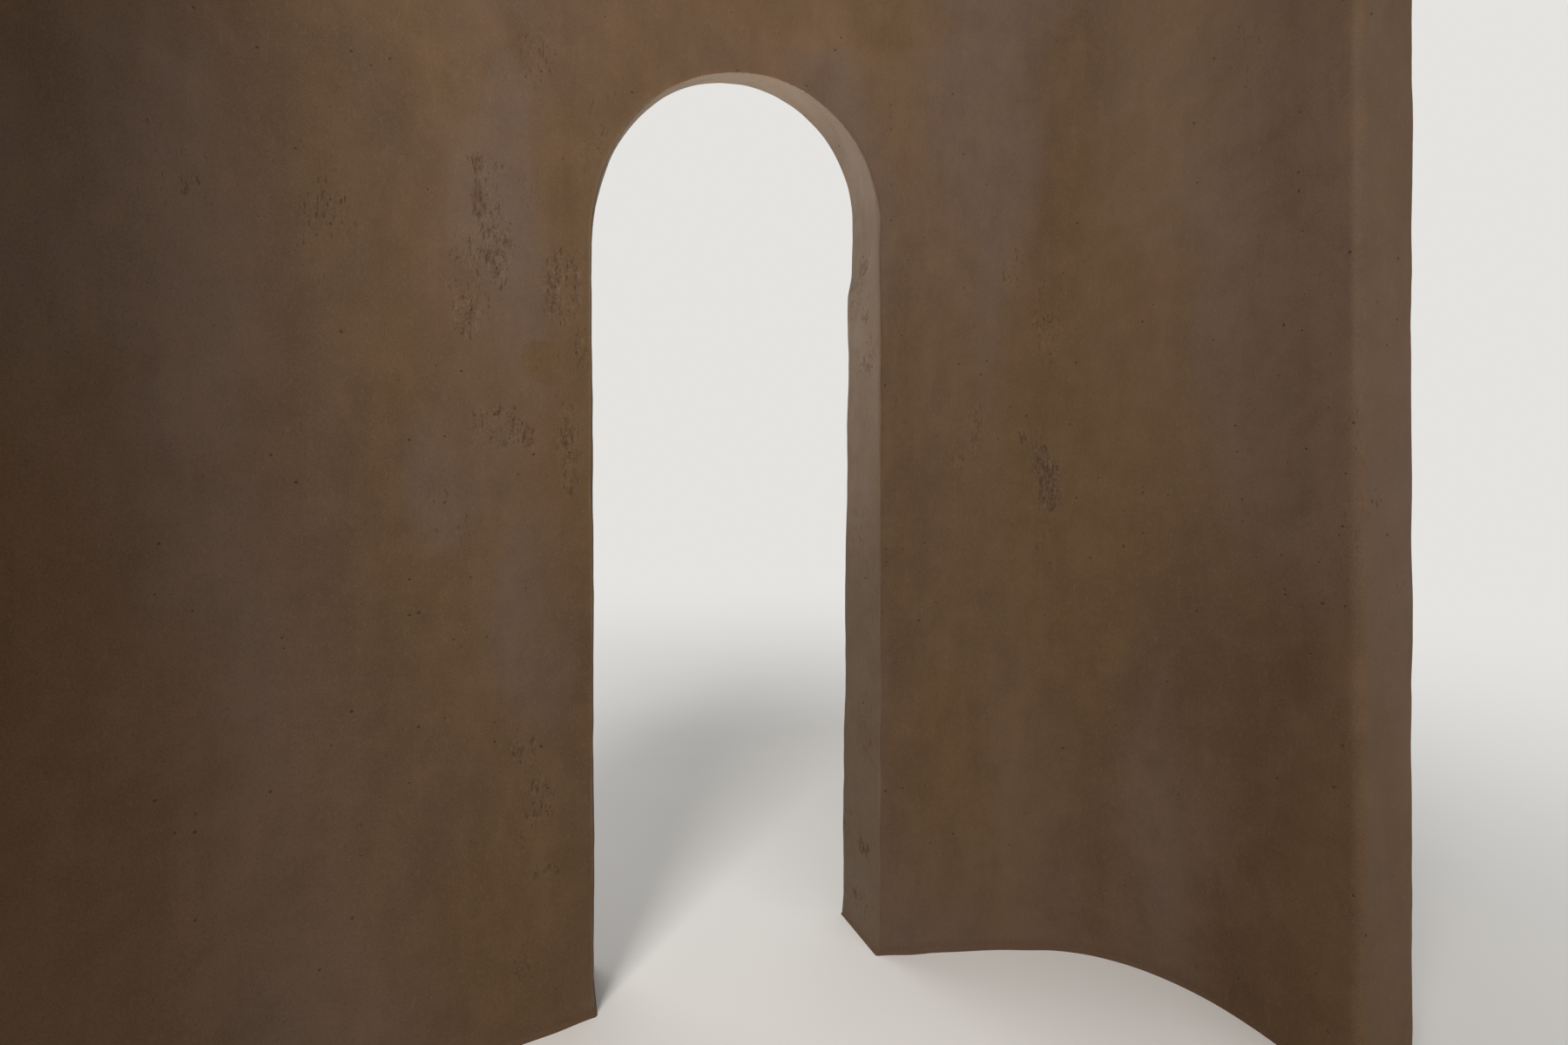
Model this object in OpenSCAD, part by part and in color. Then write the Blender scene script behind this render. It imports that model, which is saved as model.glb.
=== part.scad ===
// Round-headed passage through a thick, hand-plastered wall that bows away from the viewer.
// Plan: a shallow concave arc with a soft rounded corner and a short straight return at each side.
// Front is -Y, the passage runs along Y, and everything stands on Z = 0.

/* [Wall] */
// height of the wall
wall_h = 2800; // [2700:10:3200]
// thickness of the wall, face to face
wall_t = 180; // [140:5:260]
// radius of the hollow front face in plan
face_r = 3000; // [2000:50:8000]
// rounding of the top edges and of the free ends
edge_r = 24; // [8:1:40]

/* [Corners and returns] */
// half width of the shallow arc, where each corner begins
arc_half = 850; // [700:10:1400]
// radius of the inner side of each corner
corner_r = 450; // [250:10:700]
// length of the straight return past each corner
return_l = 120; // [60:5:600]

/* [Passage, front outline] */
// half width of the passage between the near edges at the floor
jamb_half = 381; // [300:1:500]
// how far left of its foot the left near edge stands where the curve begins
lean_left = 5; // [0:1:20]
// how far right of its foot the right near edge stands where the curve begins
lean_right = 3; // [0:1:20]
// sideways place of the top of the near edge
crown_x = 44; // [-60:1:60]
// height of the wall over the top of the near edge
over_crown = 370; // [300:5:700]
// rise of the curve on the left near edge
rise_left = 530; // [230:5:930]
// rise of the curve on the right near edge
rise_right = 380; // [230:5:930]

/* [Passage, back outline] */
// sideways place of the top of the far edge
back_crown_x = 30; // [-60:1:60]
// height of the wall over the top of the far edge, as the soffit rises to the back
over_back_crown = 267; // [240:1:600]
// distance of the left far edge from the middle
back_left = 400; // [380:1:440]
// distance of the right far edge from the middle, above the hand-made step
back_right = 373; // [340:1:400]
// how far the right far edge steps in below the curve
step_in = 14; // [0:1:25]
// how far under the top of the far edge that step starts
step_drop = 623; // [613:5:833]
// height over which that step is smoothed out
step_h = 90; // [40:5:90]
// how much more the right far edge leans in on its way down to the floor
lean_in = 18; // [0:1:30]
// rise of the curve on the left far edge
back_rise_left = 560; // [533:1:833]
// rise of the curve on the right far edge
back_rise_right = 380; // [283:1:513]

/* [Plaster edges] */
// how far the rounding of an edge reaches along each face
arris = 10; // [4:1:20]
// how far the right foot of the passage spreads at the floor
foot_right = 8; // [0:1:20]
// how far the left foot of the passage spreads at the floor
foot_left = 4; // [0:1:20]
// height over which a foot spreads
foot_h = 90; // [40:5:200]
// depth of the small plaster toe along the floor
toe_w = 11; // [8:0.5:20]
// height of the toe
toe_h = 12; // [8:0.5:20]
// radius of the hollow in the toe
cove_r = 10.5; // [7:0.5:18]
// thickness of the toe's feathered top edge
toe_lip = 1; // [0.5:0.5:3]
// height over which that edge fades out where it runs into the passage
toe_fade = 8; // [4:1:12]
// depth of the toe inside the passage, where its edges wear it down
passage_toe = 3; // [1:0.5:8]

/* [Where the wall divides] */
// half width of the part around the passage
surround_half = 480; // [440:5:600]
// height of the wall over the part around the passage
head_h = 200; // [150:5:240]
// how far over the hand-made step the jambs end and the arch begins
haunch_gap = 10; // [10:1:15]
// sideways place that the joints of the arch point to
pole_x = 40; // [20:1:60]

/* [Colours] */
// wall plaster
plaster = "#6d5646";
// plaster inside the passage and around it
reveal_plaster = "#716151";
// toe along the floor
toe_plaster = "#64503f";

/* [Hidden] */
// fineness of the small roundings, and of the wide curves in plan
$fn = 48;
wide_fn = 720;
// heights of the crowns, then of where their curves, the step and the arch begin
crown_z = wall_h - over_crown;
spring_left = crown_z - rise_left;
spring_right = crown_z - rise_right;
back_crown_z = wall_h - over_back_crown;
back_spring_left = back_crown_z - back_rise_left;
back_spring_right = back_crown_z - back_rise_right;
step_z = back_crown_z - step_drop;
jamb_top = step_z + step_h + haunch_gap;
surround_top = wall_h - head_h;
// middle of the front arc, with y = 0 at the near feet of the passage
yc = -sqrt(pow(face_r, 2) - pow(jamb_half, 2));
// direction of the joint between arc and corner, from the +Y axis
turn = asin(arc_half / face_r);
corner_x = (face_r - corner_r) * sin(turn);
corner_y = yc + (face_r - corner_r) * cos(turn);
end_y = corner_y - return_l;
back_y = yc + face_r + wall_t;
// moves the middle of the footprint to the origin
shift_y = -(end_y + back_y) / 2;

// front and back face at a sideways place x
function front_y(x) = yc + sqrt(pow(face_r, 2) - x * x);
function rear_y(x) = yc + sqrt(pow(face_r + wall_t, 2) - x * x);

// smooth step from 0 to 1
function ramp(u) = let (c = min(1, max(0, u))) c * c * (3 - 2 * c);

// how far the plaster stands proud of a face at height z: the toe's nose, its hollow, then its fading edge
function toe(z) =
    z < toe_h - cove_r ? toe_w :
    z <= toe_h ? min(toe_w, toe_lip + cove_r - sqrt(pow(cove_r, 2) - pow(toe_h - z, 2))) :
    max(0, toe_lip * (1 - (z - toe_h) / toe_fade));

// how much of the toe is left at the passage's edges
worn = passage_toe / toe_w;

function spread(z, most) = z >= foot_h ? 0 : most * pow(1 - z / foot_h, 2);

// quarter of an ellipse: x at height z, or the jamb below the spring
function quarter_x(z, mid, half, spring, top) =
    mid + half * sqrt(max(0, 1 - pow(max(0, z - spring) / (top - spring), 2)));

// near edge on the right and on the left at height z
function near_right(z) =
    quarter_x(z, crown_x, jamb_half + lean_right - crown_x, spring_right, crown_z)
    - lean_right * max(0, 1 - z / jamb_top) - spread(z, foot_right) - worn * toe(z);
function near_left(z) =
    quarter_x(z, crown_x, -(jamb_half + lean_left + crown_x), spring_left, crown_z)
    + lean_left * max(0, 1 - z / spring_left) + spread(z, foot_left) + worn * toe(z);

// far edge on the right and on the left at height z
function far_right(z) =
    quarter_x(z, back_crown_x, back_right - back_crown_x, back_spring_right, back_crown_z)
    - step_in * ramp((step_z + step_h - z) / step_h)
    - lean_in * max(0, 1 - z / step_z) - worn * toe(z);
function far_left(z) =
    quarter_x(z, back_crown_x, -(back_left + back_crown_x), back_spring_left, back_crown_z)
    + worn * toe(z);

// where a ray from the pole meets one side of an outline: the straight jamb, then the ellipse
pole = [pole_x, jamb_top];
function ray_hit(a, mid, half, spring, top) =
    let (
        d = [cos(a), sin(a)],
        straight = abs(d[0]) < 0.001 ? 1e9 : (mid + half - pole[0]) / d[0],
        e = [(pole[0] - mid) / half, (pole[1] - spring) / (top - spring)],
        g = [d[0] / half, d[1] / (top - spring)],
        qa = g * g,
        qb = 2 * e * g,
        qc = e * e - 1,
        curve = (-qb + sqrt(qb * qb - 4 * qa * qc)) / (2 * qa),
        t = straight > 0 && pole[1] + straight * d[1] <= spring ? straight : curve
    )
    pole + t * d;

function near_hit(a) = a < 90
    ? ray_hit(a, crown_x, jamb_half + lean_right - crown_x, spring_right, crown_z)
    : ray_hit(a, crown_x, -(jamb_half + lean_left + crown_x), spring_left, crown_z);
function far_hit(a) = a < 90
    ? ray_hit(a, back_crown_x, back_right - back_crown_x, back_spring_right, back_crown_z)
    : ray_hit(a, back_crown_x, -(back_left + back_crown_x), back_spring_left, back_crown_z);
function frame_hit(a) =
    let (
        side = a < 90 ? surround_half : -surround_half,
        ts = abs(cos(a)) < 0.001 ? 1e9 : (side - pole[0]) / cos(a),
        tt = sin(a) < 0.001 ? 1e9 : (surround_top - pole[1]) / sin(a)
    )
    pole + min(ts, tt) * [cos(a), sin(a)];

// heights in the hollow of the toe
toe_steps = 4;
toe_zs = [for (i = [0 : toe_steps]) toe_h - cove_r * (1 - i / toe_steps)];

// heights of the level sections through the jambs: toe, spread foot, shaft, start of the curve
foot_steps = 3;
shaft_steps = 4;
bend_steps = 6;
faded_z = toe_h + toe_fade;
bend_z = min(spring_left, step_z, jamb_top - 60);
jamb_zs = concat(
    [0],
    toe_zs,
    [for (i = [0 : foot_steps]) faded_z + (foot_h - faded_z) * i / foot_steps],
    [for (i = [1 : shaft_steps]) foot_h + (bend_z - foot_h) * i / shaft_steps],
    [for (i = [1 : bend_steps]) bend_z + (jamb_top - bend_z) * i / bend_steps]
);

// directions of the sections through the arch: both corners of the surround are among them
corner_right = atan2(surround_top - pole[1], surround_half - pole[0]);
corner_left = atan2(surround_top - pole[1], -surround_half - pole[0]);
side_steps = 9;
top_steps = 14;
rays = concat(
    [for (i = [1 : side_steps]) corner_right * i / side_steps],
    [for (i = [1 : top_steps]) corner_right + (corner_left - corner_right) * i / top_steps],
    [for (i = [1 : side_steps - 1]) corner_left + (180 - corner_left) * i / side_steps]
);
jamb_n = len(jamb_zs);
ray_n = len(rays);

// each station holds the near edge, the far edge, the outer edge and the toe there
stations = concat(
    [for (z = jamb_zs) [[near_right(z), z], [far_right(z), z], [surround_half, z], toe(z)]],
    [for (a = rays) [near_hit(a), far_hit(a), frame_hit(a), 0]],
    [for (i = [jamb_n - 1 : -1 : 0]) let (z = jamb_zs[i])
        [[near_left(z), z], [far_left(z), z], [-surround_half, z], toe(z)]]
);

// points on a face, from the outer edge towards the passage
face_steps = 5;
edge_steps = 4;
function front_point(p, out) = [p[0], front_y(p[0]) - out, p[1]];
function rear_point(p, out) = [p[0], rear_y(p[0]) + out, p[1]];
function bend(a, b, c, t) = pow(1 - t, 2) * a + 2 * t * (1 - t) * b + t * t * c;

// one closed section through the wall beside or above the passage
function section(s) =
    let (
        n = s[0],
        f = s[1],
        o = s[2],
        out = s[3],
        near = front_point(n, worn * out),
        far = rear_point(f, worn * out),
        run = (far - near) / norm(far - near),
        nb = n + arris * (o - n) / norm(o - n),
        fb = f + arris * (o - f) / norm(o - f),
        near_start = front_point(nb, worn * out),
        far_end = rear_point(fb, worn * out),
        outs = [for (i = [0 : face_steps]) out * (1 - (1 - worn) * ramp(i / face_steps))]
    )
    concat(
        [for (i = [0 : face_steps - 1]) front_point(o + (nb - o) * i / face_steps, outs[i])],
        [for (i = [0 : edge_steps]) bend(near_start, near, near + arris * run, i / edge_steps)],
        [(near + far) / 2],
        [for (i = [0 : edge_steps]) bend(far - arris * run, far, far_end, i / edge_steps)],
        [for (i = [1 : face_steps])
            rear_point(fb + (o - fb) * i / face_steps, outs[face_steps - i])]
    );

// solid between station i and station j
module loft(i, j) {
    ring = 2 * face_steps + 2 * edge_steps + 3;
    rows = j - i + 1;
    points = [for (k = [i : j]) each section(stations[k])];
    sides = [for (k = [0 : rows - 2], m = [0 : ring - 1]) each
        let (a = k * ring + m, b = k * ring + (m + 1) % ring)
        [[a, b, b + ring], [a, b + ring, a + ring]]];
    caps = [
        [for (m = [ring - 1 : -1 : 0]) m],
        [for (m = [0 : ring - 1]) (rows - 1) * ring + m]
    ];
    translate([0, shift_y, 0])
        polyhedron(points, concat(sides, caps), convexity = 6);
}

// upright section of the wall, rounded at its top edges, from radius r outwards
module wall_section(r) {
    translate([r, 0]) {
        square([wall_t, wall_h - edge_r]);
        translate([edge_r, wall_h - edge_r - 1]) square([wall_t - 2 * edge_r, edge_r + 1]);
        for (x = [edge_r, wall_t - edge_r]) translate([x, wall_h - edge_r]) circle(edge_r, $fn = 48);
    }
}

// section of a toe on the hollow side (turned inwards) or on the outer side of the wall
module toe_section(r, inwards) {
    translate([r, 0]) mirror([inwards ? 1 : 0, 0])
        polygon(concat([[0, 0], [toe_w, 0]], [for (z = toe_zs) [toe(z), z]], [[0, toe_h]]));
}

// turns a section about the middle of the wide arc, from angle a to angle b
module on_arc(a, b) {
    translate([0, yc + shift_y, 0]) rotate([0, 0, a])
        rotate_extrude(angle = b - a, $fn = wide_fn) children();
}

// turns a section about the middle of the corner on the given side
module on_corner(side) {
    translate([side * corner_x, corner_y + shift_y, 0])
        rotate([0, 0, side > 0 ? 0 : 90 + turn])
            rotate_extrude(angle = 90 - turn, $fn = wide_fn) children();
}

// block as wide as the part around the passage
module middle_block() {
    translate([-surround_half, -wall_h / 2, -1])
        cube([2 * surround_half, wall_h, wall_h + 2]);
}

// the stretch of the wide arc between the part around the passage and the corner
module beside_passage(side) {
    a = side > 0 ? 90 - turn : 90;
    difference() {
        on_arc(a, a + turn) children();
        middle_block();
    }
}

module wing(side) {
    beside_passage(side) wall_section(face_r);
}

module corner(side) {
    on_corner(side) wall_section(corner_r);
}

// straight stretch past the corner, with a rounded free end
module return_wall(side) {
    translate([side * corner_x, end_y + shift_y, 0]) mirror([side > 0 ? 0 : 1, 0, 0])
        intersection() {
            translate([0, return_l, 0]) rotate([90, 0, 0])
                linear_extrude(return_l) wall_section(corner_r);
            linear_extrude(wall_h) translate([corner_r, 0]) {
                translate([0, edge_r]) square([wall_t, return_l - edge_r]);
                translate([edge_r, 0]) square([wall_t - 2 * edge_r, edge_r + 1]);
                for (x = [edge_r, wall_t - edge_r]) translate([x, edge_r]) circle(edge_r, $fn = 48);
            }
        }
}

// wall over the arch
module head_wall() {
    color(plaster) intersection() {
        on_arc(90 - turn, 90 + turn) difference() {
            wall_section(face_r);
            translate([face_r - 1, -1]) square([wall_t + 2, surround_top + 1]);
        }
        middle_block();
    }
}

module left_wing() { color(plaster) wing(-1); }
module right_wing() { color(plaster) wing(1); }
module left_corner() { color(plaster) corner(-1); }
module right_corner() { color(plaster) corner(1); }
module left_return() { color(plaster) return_wall(-1); }
module right_return() { color(plaster) return_wall(1); }

// the jambs and the arch: stations run up the right jamb, over the arch and down the left jamb
right_end = jamb_n - 1;
shoulder_steps = side_steps + 3;
haunch_end = right_end + shoulder_steps;
left_start = right_end + ray_n + 1;
crown_end = left_start - shoulder_steps;
module right_jamb() { color(reveal_plaster) loft(0, right_end); }
module right_haunch() { color(reveal_plaster) loft(right_end, haunch_end); }
module arch_crown() { color(reveal_plaster) loft(haunch_end, crown_end); }
module left_haunch() { color(reveal_plaster) loft(crown_end, left_start); }
module left_jamb() { color(reveal_plaster) loft(left_start, len(stations) - 1); }

// toes: a small hollow plaster foot where each stretch of wall meets the floor
module wing_toe(side, front) {
    r = front ? face_r : face_r + wall_t;
    color(toe_plaster) beside_passage(side) toe_section(r, front);
}

module corner_toe(side, front) {
    r = front ? corner_r : corner_r + wall_t;
    color(toe_plaster) on_corner(side) toe_section(r, front);
}

module return_toe(side, front) {
    r = front ? corner_r : corner_r + wall_t;
    color(toe_plaster)
        translate([side * corner_x, corner_y + shift_y, 0]) mirror([side > 0 ? 0 : 1, 0, 0])
            rotate([90, 0, 0]) linear_extrude(return_l - edge_r) toe_section(r, front);
}

module left_wing_toe_front() { wing_toe(-1, true); }
module left_wing_toe_back() { wing_toe(-1, false); }
module right_wing_toe_front() { wing_toe(1, true); }
module right_wing_toe_back() { wing_toe(1, false); }
module left_corner_toe_front() { corner_toe(-1, true); }
module left_corner_toe_back() { corner_toe(-1, false); }
module right_corner_toe_front() { corner_toe(1, true); }
module right_corner_toe_back() { corner_toe(1, false); }
module left_return_toe_front() { return_toe(-1, true); }
module left_return_toe_back() { return_toe(-1, false); }
module right_return_toe_front() { return_toe(1, true); }
module right_return_toe_back() { return_toe(1, false); }

left_return();
left_corner();
left_wing();
left_jamb();
left_haunch();
arch_crown();
right_haunch();
right_jamb();
right_wing();
right_corner();
right_return();
head_wall();
left_wing_toe_front();
left_wing_toe_back();
right_wing_toe_front();
right_wing_toe_back();
left_corner_toe_front();
left_corner_toe_back();
right_corner_toe_front();
right_corner_toe_back();
left_return_toe_front();
left_return_toe_back();
right_return_toe_front();
right_return_toe_back();
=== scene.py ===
"""Looks of the arched passage wall: hand-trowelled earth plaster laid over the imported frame.

Every stretch of plaster is a fine grid that follows the wall's plan. Geometry Nodes give the
grid its trowelled relief, and the finished stretches replace the plain solids they stand for.
"""

import math

import bpy
import numpy as np
from bpy.props import FloatProperty, FloatVectorProperty, IntProperty, PointerProperty
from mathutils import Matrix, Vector, noise


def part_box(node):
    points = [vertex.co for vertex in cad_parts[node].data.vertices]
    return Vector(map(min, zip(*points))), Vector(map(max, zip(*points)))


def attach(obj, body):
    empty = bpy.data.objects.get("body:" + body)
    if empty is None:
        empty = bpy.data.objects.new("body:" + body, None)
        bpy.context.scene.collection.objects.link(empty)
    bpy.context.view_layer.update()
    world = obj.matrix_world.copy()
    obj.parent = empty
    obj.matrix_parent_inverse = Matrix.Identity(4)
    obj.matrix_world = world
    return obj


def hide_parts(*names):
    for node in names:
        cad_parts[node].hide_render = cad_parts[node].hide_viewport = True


bl_info = {
    "name": "Arched passage wall",
    "version": (1, 0, 0),
    "blender": (4, 5, 0),
    "location": "3D View > Sidebar > Passage",
    "description": "Dresses a curved plaster wall and its round-headed passage",
    "category": "Object",
}

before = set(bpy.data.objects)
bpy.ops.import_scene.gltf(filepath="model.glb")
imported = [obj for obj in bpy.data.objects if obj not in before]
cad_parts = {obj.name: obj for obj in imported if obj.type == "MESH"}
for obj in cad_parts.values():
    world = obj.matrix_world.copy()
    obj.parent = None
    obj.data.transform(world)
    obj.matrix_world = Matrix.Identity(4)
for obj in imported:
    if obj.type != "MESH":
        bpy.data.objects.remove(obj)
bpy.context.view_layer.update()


# Driving dimensions of the wall, in metres

RETURN_LOW, RETURN_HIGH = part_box("right_return")
WALL_H = RETURN_HIGH[2]
WALL_T = RETURN_HIGH[0] - RETURN_LOW[0]
END_Y = RETURN_LOW[1]
SURROUND_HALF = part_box("head_wall")[1][0]
SURROUND_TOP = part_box("head_wall")[0][2]
JAMB_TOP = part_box("right_jamb")[1][2]
FACE_R = 3.0
EDGE_R = 0.024
ARC_HALF = 0.850
CORNER_R = 0.450
RETURN_L = 0.120
JAMB_HALF = 0.381
ARRIS = 0.007
TOE_W = 0.011
TOE_H = 0.012
COVE_R = 0.0105
TOE_LIP = 0.001
TOE_FADE = 0.008
TOE_TUCK = 0.004
TOE_TAPER = 0.070
TOE_UNEVEN = 0.10
WORN = 0.003 / TOE_W
FOOT_H = 0.090
GIVE_H = 0.060
POLE = np.array([0.040, JAMB_TOP])

# Plan: middle of the wide arc, the corner's middle and the lengths along the front
TURN = math.asin(ARC_HALF / FACE_R)
ARC_Y = END_Y + RETURN_L - (FACE_R - CORNER_R) * math.cos(TURN)
CORNER_X = (FACE_R - CORNER_R) * math.sin(TURN)
CORNER_Y = ARC_Y + (FACE_R - CORNER_R) * math.cos(TURN)
ARC_END = FACE_R * TURN
CORNER_END = ARC_END + CORNER_R * (math.pi / 2 - TURN)
WALL_END = CORNER_END + RETURN_L

# Each side of an outline: crown x, half width, spring height, crown height
CROWN, FAR_CROWN = WALL_H - 0.370, WALL_H - 0.267
NEAR_RIGHT = (0.044, 0.340, CROWN - 0.380, CROWN)
NEAR_LEFT = (0.044, -0.430, CROWN - 0.530, CROWN)
FAR_RIGHT = (0.030, 0.343, FAR_CROWN - 0.380, FAR_CROWN)
FAR_LEFT = (0.030, -0.430, FAR_CROWN - 0.560, FAR_CROWN)
LEAN_RIGHT, LEAN_LEFT = 0.003, 0.005
FOOT_RIGHT, FOOT_LEFT = 0.008, 0.004
STEP_IN, STEP_Z, STEP_H, LEAN_IN = 0.014, FAR_CROWN - 0.623, 0.090, 0.018

# The photographed view: a level wide camera, in the wall's own frame
CAMERA_AT = (-0.294, -1.471, 1.22)
CAMERA_TURN = math.radians(15.16)
CAMERA_LENS, SENSOR = 13.0, 36.0


# Settings that a user would change


def a_length(name, text, value):
    return FloatProperty(name=name, description=text, default=value, unit="LENGTH")


def a_power(name, text, value):
    return FloatProperty(name=name, description=text, default=value, unit="POWER")


def a_colour(name, text, value):
    return FloatVectorProperty(
        name=name, description=text, subtype="COLOR", size=3, min=0.0, max=1.0, default=value
    )


class PassageSurface(bpy.types.PropertyGroup):
    """How the plaster was laid"""

    cell: a_length("Cell", "Size of the plaster's grid cells", 0.008)
    swell_depth: a_length("Swell depth", "Depth of the wide swells", 0.0045)
    swell_size: a_length("Swell size", "Distance between wide swells", 0.46)
    trowel_depth: a_length("Trowel depth", "Depth of the trowel's dips", 0.0022)
    trowel_size: a_length("Trowel size", "Width of the trowel's dips", 0.13)
    float_depth: a_length("Float depth", "Depth of the close marks of the float", 0.0016)
    wander: a_length("Edge wander", "How far an edge strays from its line", 0.0022)
    torn_depth: a_length("Torn depth", "Depth of the torn patches", 0.0012)
    seed: IntProperty(name="Seed", description="Seed of the relief and its clouds", default=7)


class PassageFinish(bpy.types.PropertyGroup):
    """Colours of the plaster, as linear values"""

    wall: a_colour("Wall", "Common tone of the wall", (0.100, 0.0572, 0.0306))
    light: a_colour("Light", "Rubbed, paler tone", (0.132, 0.0785, 0.0440))
    dark: a_colour("Dark", "Damp, deeper tone", (0.072, 0.0395, 0.0195))
    rosy: a_colour("Rosy", "Rosy columns", (0.105, 0.0675, 0.0475))
    ochre: a_colour("Ochre", "Yellower columns", (0.095, 0.0535, 0.0225))
    ground: a_colour("Ground", "Coat under the worn skin", (0.083, 0.0450, 0.0245))
    # The torn tone is painted shade in the nicks and pits, and a dark tone of sand grains elsewhere
    torn: a_colour("Torn", "Tone of tears and pits", (0.036, 0.0190, 0.0090))
    # The passage tone is painted light: the same plaster drawn greyer and paler, as if lit by a cooler
    # lamp
    passage: a_colour("Passage", "Greyer tone inside the passage", (0.118, 0.084, 0.056))
    # Along the rounded edges this tone is partly rubbed wear and partly a painted highlight; it also
    # lightens sand grains and scratches
    edge: a_colour("Edge", "Rubbed tone along the edges", (0.152, 0.111, 0.075))


class PassageStage(bpy.types.PropertyGroup):
    """Floor and lights"""

    floor: a_colour("Floor", "Colour of the studio floor", (0.74, 0.725, 0.70))
    backdrop: a_colour("Backdrop", "Colour of the backdrop", (0.78, 0.77, 0.75))
    key_power: a_power("Key power", "Power of the large lamp at the left", 122.0)
    fill_power: a_power("Fill power", "Power of the lamp at the right", 34.0)
    back_power: a_power("Back power", "Power of the lamp behind the wall", 48.0)
    low_power: a_power("Low power", "Power of the lamp under the arch", 4.0)
    sky: FloatProperty(name="Sky", description="Strength of the even light", default=0.32)


# Plan and outlines


def plan(u, depth):
    """Points and outward normals on the right half: u runs along the front, depth goes in."""
    u, depth = np.broadcast_arrays(np.asarray(u, float), np.asarray(depth, float))
    on_arc = u <= ARC_END
    turn = np.where(on_arc, u / FACE_R, np.minimum(TURN + (u - ARC_END) / CORNER_R, math.pi / 2))
    radius = np.where(on_arc, FACE_R, CORNER_R) + depth
    x = np.where(on_arc, 0.0, CORNER_X) + radius * np.sin(turn)
    y = np.where(on_arc, ARC_Y, CORNER_Y) + radius * np.cos(turn)
    y = y - np.maximum(u - CORNER_END, 0.0)
    return x, y, np.sin(turn), np.cos(turn)


def face_y(x, depth):
    return ARC_Y + np.sqrt((FACE_R + depth) ** 2 - np.square(x))


def unit(v):
    return v / np.linalg.norm(v, axis=-1, keepdims=True)


def ramp(t):
    t = np.clip(t, 0.0, 1.0)
    return t * t * (3.0 - 2.0 * t)


def toe_reach(z):
    """How far the toe stands proud of a face at height z: nose, hollow, fading edge."""
    z = np.asarray(z, float)
    root = np.sqrt(np.maximum(COVE_R**2 - np.square(TOE_H - z), 0.0))
    hollow = np.minimum(TOE_W, TOE_LIP + COVE_R - root)
    fade = np.maximum(0.0, TOE_LIP * (1.0 - (z - TOE_H) / TOE_FADE))
    return np.where(z < TOE_H - COVE_R, TOE_W, np.where(z <= TOE_H, hollow, fade))


def below(z, top):
    """Share that grows from nothing at the top to one at the floor."""
    return np.maximum(0.0, 1.0 - z / top)


def side_x(z, side):
    """x of one side of an outline at height z: a jamb, then a quarter of an ellipse."""
    mid, half, spring, top = side
    rise = np.clip((z - spring) / (top - spring), 0.0, 1.0)
    return mid + half * np.sqrt(1.0 - rise**2)


def level_stations(z, right):
    """Near, far and outer edge of the jamb at each height, with the toe's reach there."""
    toe, foot = toe_reach(z), np.square(below(z, FOOT_H))
    if right:
        near = side_x(z, NEAR_RIGHT) - LEAN_RIGHT * below(z, JAMB_TOP) - FOOT_RIGHT * foot
        far = side_x(z, FAR_RIGHT) - STEP_IN * ramp((STEP_Z + STEP_H - z) / STEP_H)
        far = far - LEAN_IN * below(z, STEP_Z)
        outer, worn = SURROUND_HALF, -WORN * toe
    else:
        near = side_x(z, NEAR_LEFT) + LEAN_LEFT * below(z, NEAR_LEFT[2]) + FOOT_LEFT * foot
        far = side_x(z, FAR_LEFT)
        outer, worn = -SURROUND_HALF, WORN * toe
    sections = (near + worn, far + worn, np.full_like(z, outer))
    return [np.stack([x, z], axis=1) for x in sections], toe


def ray_hit(angle, side):
    """Where a ray from the pole meets one side of an outline."""
    mid, half, spring, top = side
    d = np.array([math.cos(angle), math.sin(angle)])
    if abs(d[0]) > 1e-6:
        t = (mid + half - POLE[0]) / d[0]
        if t > 0.0 and POLE[1] + t * d[1] <= spring:
            return POLE + t * d
    e = np.array([(POLE[0] - mid) / half, (POLE[1] - spring) / (top - spring)])
    g = np.array([d[0] / half, d[1] / (top - spring)])
    a, b, c = g @ g, 2.0 * e @ g, e @ e - 1.0
    return POLE + (-b + math.sqrt(b * b - 4.0 * a * c)) / (2.0 * a) * d


def frame_hit(angle):
    """Where a ray from the pole leaves the part around the passage."""
    d = np.array([math.cos(angle), math.sin(angle)])
    side = SURROUND_HALF if d[0] > 0.0 else -SURROUND_HALF
    reach = [(side - POLE[0]) / d[0]] if abs(d[0]) > 1e-6 else []
    if d[1] > 1e-6:
        reach.append((SURROUND_TOP - POLE[1]) / d[1])
    return POLE + min(reach) * d


# Size of the rows at the foot, at a toe and over the top, in cells
FOOT_FINE, TOE_FINE, COARSE = 0.6, 0.7, 1.5

# Angles of the arch's joints, as the solids have them
CORNER_RIGHT = math.atan2(SURROUND_TOP - POLE[1], SURROUND_HALF - POLE[0])
CORNER_LEFT = math.atan2(SURROUND_TOP - POLE[1], -SURROUND_HALF - POLE[0])
HAUNCH = (CORNER_LEFT - CORNER_RIGHT) * 3.0 / 14.0


def spaced(low, high, cell):
    return np.linspace(low, high, max(2, int(round(abs(high - low) / cell))) + 1)


def past_ends(length, cell):
    """Steps of a length as shares of it, with one more past each end."""
    steps = int(round(length / cell))
    return np.arange(-1, steps + 2) / steps


def jamb_heights(cell):
    toe = np.concatenate([[0.0], TOE_H - COVE_R * np.linspace(1.0, 0.0, 6), [TOE_H + TOE_FADE]])
    foot = spaced(TOE_H + TOE_FADE, FOOT_H, cell * FOOT_FINE)[1:]
    return np.concatenate([toe, foot, spaced(FOOT_H, JAMB_TOP, cell)[1:]])


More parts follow.
